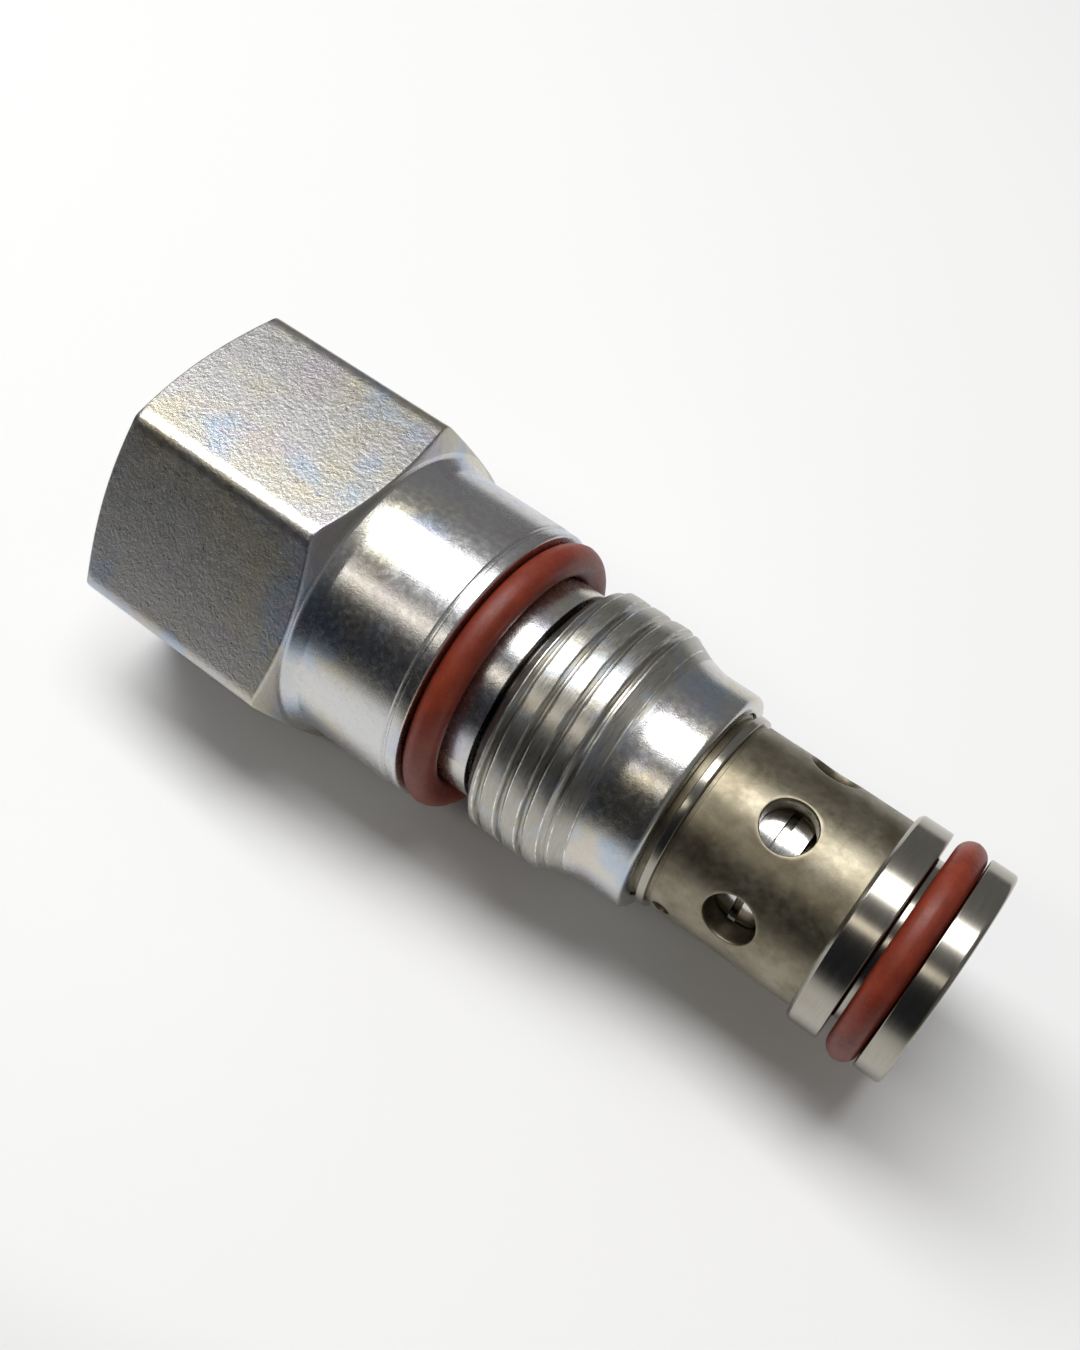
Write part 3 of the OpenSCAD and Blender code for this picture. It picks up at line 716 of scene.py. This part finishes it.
def cage():
    bm = bmesh.new()
    sector = 360 / SECTORS
    for i in range(SECTORS):
        drilled_sector(
            bm, HOLE_STATION, HOLE_TURN + sector * i, HOLE_R, VENT_ROW_FRONT - HOLE_STATION,
            HOLE_ROW_FRONT - HOLE_STATION, 0.1,
        )
        vent_turn = HOLE_TURN - sector / 2 + sector * i
        back, front = VENT_ROW_BACK - VENT_STATION, VENT_ROW_FRONT - VENT_STATION
        if i % 3 == 0:
            drilled_sector(bm, VENT_STATION, vent_turn, VENT_R, back, front, 0.05)
        else:
            plain_sector(bm, VENT_STATION, vent_turn, back, front)
    bmesh.ops.remove_doubles(bm, verts=bm.verts[:], dist=2e-6)
    seat = span("main_poppet")[1] - POPPET_SEAT_DEPTH
    to_nose = eased([
        (HOLE_ROW_FRONT, CAGE_R, 0),
        (LAND_1_BACK, CAGE_R, 0.12),
        (LAND_1_BACK, LAND_R - 0.3, 0.1),
        (LAND_1_BACK + 0.3, LAND_R, 0.15),
        (LAND_1_FRONT, LAND_R, 0.15),
        (LAND_1_FRONT, NOSE_FLOOR_R, 0.25),
        (LAND_2_BACK, NOSE_FLOOR_R, 0.25),
        (LAND_2_BACK, LAND_R, 0.15),
        (NOSE_END, LAND_R, 0.4),
        (NOSE_END, NOSE_MOUTH_R, 0.15),
        (NOSE_END - INLET_CONE, INLET_R, 0.3),
        (seat, INLET_R, 0.1),
        (seat, CAGE_BORE_R, 0.1),
        (HOLE_ROW_FRONT, CAGE_BORE_R, 0),
    ], closed=False)
    to_back = eased([
        (VENT_ROW_BACK, CAGE_R, 0),
        (COLLAR_GROOVE_FRONT, CAGE_R, 0.05),
        (COLLAR_GROOVE_FRONT, CAGE_R - 0.25, 0.08),
        (COLLAR_FRONT, CAGE_R - 0.25, 0.08),
        (COLLAR_FRONT, CAGE_R + 0.3, 0.12),
        (COLLAR_BACK, CAGE_R + 0.39, 0.15),
        (COLLAR_BACK, CAGE_R - 0.2, 0.1),
        (BODY_END, CAGE_R - 0.2, 0.05),
        (BODY_END - 0.3, SOCKET_R, 0.1),
        (SPIGOT_FRONT, SOCKET_R, 0.3),
        (SPIGOT_FRONT, SPIGOT_R, 0.1),
        (CAGE_BACK, SPIGOT_R, 0.1),
        (CAGE_BACK, SPRING_BORE_R, 0.1),
        (SPRING_STEP, SPRING_BORE_R, 0.1),
        (SPRING_STEP, CAGE_BORE_R, 0.1),
        (VENT_ROW_BACK, CAGE_BORE_R, 0),
    ], closed=False)
    turn_on(bm, end_loop(bm, HOLE_ROW_FRONT, CAGE_R), to_nose[1:])
    turn_on(bm, end_loop(bm, VENT_ROW_BACK, CAGE_R), to_back[1:])
    bmesh.ops.remove_doubles(bm, verts=bm.verts[:], dist=2e-6)
    bmesh.ops.recalc_face_normals(bm, faces=bm.faces[:])
    piece = as_piece(bm, "cage_sleeve", "valve_body", [CAGE_STEEL, LAND_STEEL], ["cage"])
    for poly in piece.data.polygons:
        station, radius, _ = polar(poly.center)
        on_lands = station > LAND_1_BACK and radius > CAGE_R - 1.5
        on_collar = station < COLLAR_STEEL_FRONT and radius > CAGE_R
        if on_lands or on_collar:
            poly.material_index = 1


# ---------------------------------------------------------------- seals

def seal_ring(name, node, back, front, outer_r):
    """An O-ring with the fine parting line of its mould, its section a little thinner than the CAD ring."""
    half = (front - back) / 2
    middle = (front + back) / 2
    centre_r = outer_r - half
    outline = []
    for k in range(48):
        a = 2 * math.pi * k / 48
        flash = 0.025 * max(0.0, 1 - abs(math.sin(a)) * 9) * (math.cos(a) > 0)
        r = half + flash - 0.02
        outline.append((middle + r * math.sin(a), centre_r + r * math.cos(a)))
    bm = spun(outline, 288)
    as_piece(bm, name, "valve_body", [RED_RUBBER], [node])


# ---------------------------------------------------------------- main poppet, nut, screw

def poppet():
    back, nose, outer_r = span("main_poppet")
    shoulder = nose - (outer_r - 3.4)
    groove = HOLE_STATION - 0.54
    glide_back, glide_front, _ = span("poppet_glide_ring")
    vent_groove = VENT_STATION - 0.6
    bm = spun(eased([
        (back, 4.4, 0.1),
        (back, outer_r, 0.25),
        (glide_back - 0.05, outer_r, 0.06),
        (glide_back - 0.05, outer_r - 0.8, 0.06),
        (glide_front + 0.05, outer_r - 0.8, 0.06),
        (glide_front + 0.05, outer_r, 0.06),
        (vent_groove, outer_r, 0.06),
        (vent_groove, outer_r - 0.35, 0.06),
        (vent_groove + 1.2, outer_r - 0.35, 0.06),
        (vent_groove + 1.2, outer_r, 0.06),
        (groove, outer_r, 0.05),
        (groove, outer_r - 0.45, 0.05),
        (groove + 0.6, outer_r - 0.45, 0.05),
        (groove + 0.6, outer_r, 0.05),
        (shoulder, outer_r, 0.08),
        (nose, 3.4, 0.12),
        (nose, 2.5, 0.06),
        (nose - 0.6, 2.5, 0.06),
        (nose - 0.6, 1.25, 0.06),
        (span("orifice_jet")[1], 1.25, 0.06),
        (span("orifice_jet")[1], 2.0, 0.06),
        (span("orifice_jet")[0] - 0.3, 2.0, 0.06),
        (span("orifice_jet")[0] - 0.3, 4.2, 0.06),
        (back + 0.2, 4.2, 0.06),
    ]), 192)
    as_piece(bm, "poppet_spool", "main_poppet", [BRIGHT_STEEL], ["main_poppet"])


def nut():
    back, front, _ = span("lock_nut")
    af = (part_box("lock_nut")[1][2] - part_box("lock_nut")[0][2]) / MM
    corner_r = af / 2 / math.cos(math.pi / 6)
    chamfer = (corner_r - af / 2) * math.tan(math.radians(30))
    bore_r = span("adjusting_screw")[2] + 0.02
    outline = (
        [(back, bore_r + 0.35, 0.05)]
        + in_steps((back, af / 2 - 0.2), (back + chamfer, corner_r), 8)
        + in_steps((front - chamfer, corner_r), (front, af / 2 - 0.2), 8)
        + [(front, bore_r + 0.35, 0.05), (front - 0.35, bore_r, 0.05), (back + 0.35, bore_r, 0.05)]
    )
    bm = spun(eased(outline), 288)
    crowd_to_corners(bm)
    mill_flats(bm, back, front, af / 2 - 0.3, af, 0.25)
    as_piece(bm, "thin_lock_nut", "lock_nut", [ZINC_TURNED], ["lock_nut"])


def screw():
    back, front, outer_r = span("adjusting_screw")
    clip = span("screw_stop_clip")
    clip_back, clip_front = clip[0] - 0.01, clip[1] + 0.01
    tip_r = outer_r - 1.1
    socket_af = 4.0
    socket_floor = back + 4
    threaded_to = clip_back - 0.9
    pitch = 1.0
    rings = int((threaded_to - back - 0.6) / 0.1)
    outline = (
        [(socket_floor + 0.5, 0, 0), (socket_floor, socket_af / 2, 0)]
        + in_steps((socket_floor - 0.2, socket_af / 2), (back + 0.35, socket_af / 2), 6)
        + [(back, socket_af / 2 + 0.4, 0), (back, outer_r - 0.7, 0.1), (back + 0.6, outer_r, 0)]
        + [(back + 0.7 + 0.1 * k, outer_r, 0) for k in range(rings - 1)]
        + [
            (threaded_to, outer_r, 0.1), (threaded_to, tip_r, 0.1), (clip_back, tip_r, 0.04),
            (clip_back, tip_r - 0.5, 0.04), (clip_front, tip_r - 0.5, 0.04), (clip_front, tip_r, 0.04),
            (front, tip_r, 0.3), (front, 0, 0),
        ]
    )
    bm = spun(eased(outline, closed=False), 192, closed=False)
    for vert in bm.verts:
        station, radius, turn = polar(vert.co)
        if back + 0.65 < station < threaded_to - 0.1 and radius > outer_r - 0.1:
            phase = station / pitch + turn / 360
            depth = 0.5 * abs(phase - round(phase)) * 2
            place(vert, station, outer_r - 0.55 * softer_min(depth, 0.48, 0.1) * 2, turn)
    broach_socket(bm, back + 0.3, socket_floor, socket_af / 2 + 0.2, socket_af)
    as_piece(bm, "set_screw", "adjusting_screw", [BLACK_SCREW], ["adjusting_screw"])


# ---------------------------------------------------------------- springs

def coil(name, node, wire, coils, joint):
    """A compression spring with closed ends, wound by turning a circle of wire about X."""
    back, front, outer_r = span(node)
    mean_r = outer_r - wire / 2
    closed_rise = wire * 1.08
    open_rise = (front - back - wire - 2 * closed_rise) / (coils - 2)
    bm = bmesh.new()
    ring = bmesh.ops.create_circle(bm, segments=16, radius=wire / 2 * MM, cap_ends=True)["verts"]
    bmesh.ops.rotate(bm, verts=ring, cent=(0, 0, 0), matrix=Matrix.Rotation(math.pi / 2, 3, "X"))
    bmesh.ops.translate(bm, verts=ring, vec=((back + wire / 2) * MM, 0, mean_r * MM))
    steps = 48
    for turns, rise in ((1, closed_rise), (coils - 2, open_rise), (1, closed_rise)):
        geom = [v for v in bm.verts if v in ring]
        last = [f for f in bm.faces if all(v in geom for v in f.verts)]
        edges = [e for e in bm.edges if all(v in geom for v in e.verts)]
        result = bmesh.ops.spin(
            bm, geom=geom + edges + last, cent=(0, 0, 0), axis=(1, 0, 0), angle=2 * math.pi * turns,
            dvec=(rise * MM / steps, 0, 0), steps=steps * turns,
        )
        ring = [g for g in result["geom_last"] if isinstance(g, bmesh.types.BMVert)]
    bmesh.ops.recalc_face_normals(bm, faces=bm.faces[:])
    piece = as_piece(bm, name, "valve_body", [SPRING_WIRE], [node], even_normals=False)
    travel = next(j for j in frame["joints"] if j["name"] == joint)
    return piece, back, front, travel["range_m"][1] / MM


def springs():
    """The main spring and the pilot spring, each with a mesh of its own. The travel of each spring's joint
    is read, but nothing presses or squashes them."""
    piece, back, front, travel = coil("main_coil", "main_spring", 0.9, 9, "main_poppet_lift")
    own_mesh(piece)
    piece, back, front, travel = coil("pilot_coil", "pilot_spring", 1.2, 5, "adjuster_travel")
    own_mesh(piece)


# ---------------------------------------------------------------- CAD pieces that stay

def dress(node, material):
    mesh = frame["nodes"][node].data
    mesh.materials.clear()
    mesh.materials.append(material)


for node, material in {
    "cage_lock_wire": SPRING_WIRE,
    "cage_spigot_ring": BLACK_RUBBER,
    "poppet_glide_ring": GLIDE_PLASTIC,
    "orifice_jet": BRASS,
    "inlet_screen": BRASS,
    "main_spring_shim": BRIGHT_STEEL,
    "pilot_seat": BRIGHT_STEEL,
    "pilot_seat_ring": BLACK_RUBBER,
    "pilot_poppet": BRIGHT_STEEL,
    "pilot_spring_shim": BRIGHT_STEEL,
    "spring_guide": BRIGHT_STEEL,
    "spring_guide_ring": BLACK_RUBBER,
    "screw_stop_clip": SPRING_WIRE,
    "seal_washer": BRASS,
}.items():
    dress(node, material)

valve_body()
cage()
seal_ring("port_seal", "port_ring", RING_BACK, RING_FRONT, RING_R)
seal_ring("nose_seal", "nose_ring", NOSE_RING_BACK, NOSE_RING_FRONT, NOSE_RING_R)
poppet()
nut()
screw()
springs()


# ---------------------------------------------------------------- studio

def aimed(direction, distance, target, long_axis=Vector((1, 0, 0))):
    """A matrix at a distance from the target, with its -Z towards the target."""
    z = Vector(direction).normalized()
    y = z.cross(long_axis).normalized()
    x = y.cross(z)
    turn = Matrix((x, y, z)).transposed().to_4x4()
    return Matrix.Translation(Vector(target) + z * distance) @ turn


def softbox(name, direction, distance, length, width, power, tone):
    data = bpy.data.lights.new(name, "AREA")
    data.shape = "RECTANGLE"
    data.size = length
    data.size_y = width
    data.energy = power
    data.color = tone
    lamp = bpy.data.objects.new(name, data)
    lamp.matrix_world = aimed(direction, distance, (0.005, 0, 0))
    bpy.context.scene.collection.objects.link(lamp)


def floor():
    """A floor with a painted pool of light: white around the valve and painted dark farther off, for the
    metal to mirror.
    """
    bm = bmesh.new()
    bmesh.ops.create_grid(bm, x_segments=2, y_segments=2, size=1.5)
    bmesh.ops.translate(bm, verts=bm.verts[:], vec=(0, 0, FLOOR_Z))
    mesh = bpy.data.meshes.new("floor")
    bm.to_mesh(mesh)
    bm.free()
    f = Finish("pale_floor", Roughness=0.7)
    from_middle = f.add("ShaderNodeVectorMath", operation="DISTANCE")
    f.join(f.place_mm, from_middle.inputs[0])
    from_middle.inputs[1].default_value = (-30, 62, FLOOR_Z / MM)
    # Painted light: the floor colour falls from white to dark grey away from a middle point, as a pool of
    # light would.
    edge = f.spread(from_middle.outputs["Value"], 118, 190)
    f.colour(mixed(f, edge, rgb(0.90, 0.90, 0.90), rgb(0.10, 0.10, 0.10)))
    mesh.materials.append(f.material)
    sheet = bpy.data.objects.new("floor", mesh)
    bpy.context.scene.collection.objects.link(sheet)


def room():
    """A grey room that is nearly black on the side in front, which the metal mirrors."""
    world = bpy.data.worlds.new("studio")
    bpy.context.scene.world = world
    world.use_nodes = True
    nodes, links = world.node_tree.nodes, world.node_tree.links
    where = nodes.new("ShaderNodeTexCoord").outputs["Generated"]
    facing = nodes.new("ShaderNodeVectorMath")
    facing.operation = "DOT_PRODUCT"
    links.new(where, facing.inputs[0])
    facing.inputs[1].default_value = Vector((-0.30, -0.92, 0.26)).normalized()
    ramp = nodes.new("ShaderNodeValToRGB")
    ramp.color_ramp.elements[0].position = 0.30
    ramp.color_ramp.elements[0].color = rgb(0.20, 0.20, 0.20)
    ramp.color_ramp.elements[1].position = 0.80
    ramp.color_ramp.elements[1].color = rgb(0.018, 0.020, 0.025)
    links.new(facing.outputs["Value"], ramp.inputs[0])
    links.new(ramp.outputs[0], nodes["Background"].inputs["Color"])


def camera():
    data = bpy.data.cameras.new("camera")
    data.lens = 38.67
    data.clip_start = 0.005
    data.clip_end = 20
    right = Vector((0.7886, 0.6079, 0.0926))
    up = Vector((-0.5382, 0.6095, 0.5821))
    back = right.cross(up)
    up = back.cross(right)
    turn = Matrix((right.normalized(), up.normalized(), back.normalized())).transposed().to_4x4()
    seen_from = bpy.data.objects.new("camera", data)
    seen_from.matrix_world = Matrix.Translation((0.03766, -0.05726, 0.09382)) @ turn
    bpy.context.scene.collection.objects.link(seen_from)
    bpy.context.scene.camera = seen_from


bpy.context.scene.view_settings.view_transform = "Standard"
floor()
room()
camera()
softbox("top_softbox", (-0.30, 0.12, 0.95), 0.55, 0.70, 0.24, 3.4, (1.0, 1.0, 1.0))
softbox("front_strip", (-0.30, -0.55, 0.78), 0.55, 0.50, 0.08, 0.30, (1.0, 0.93, 0.82))
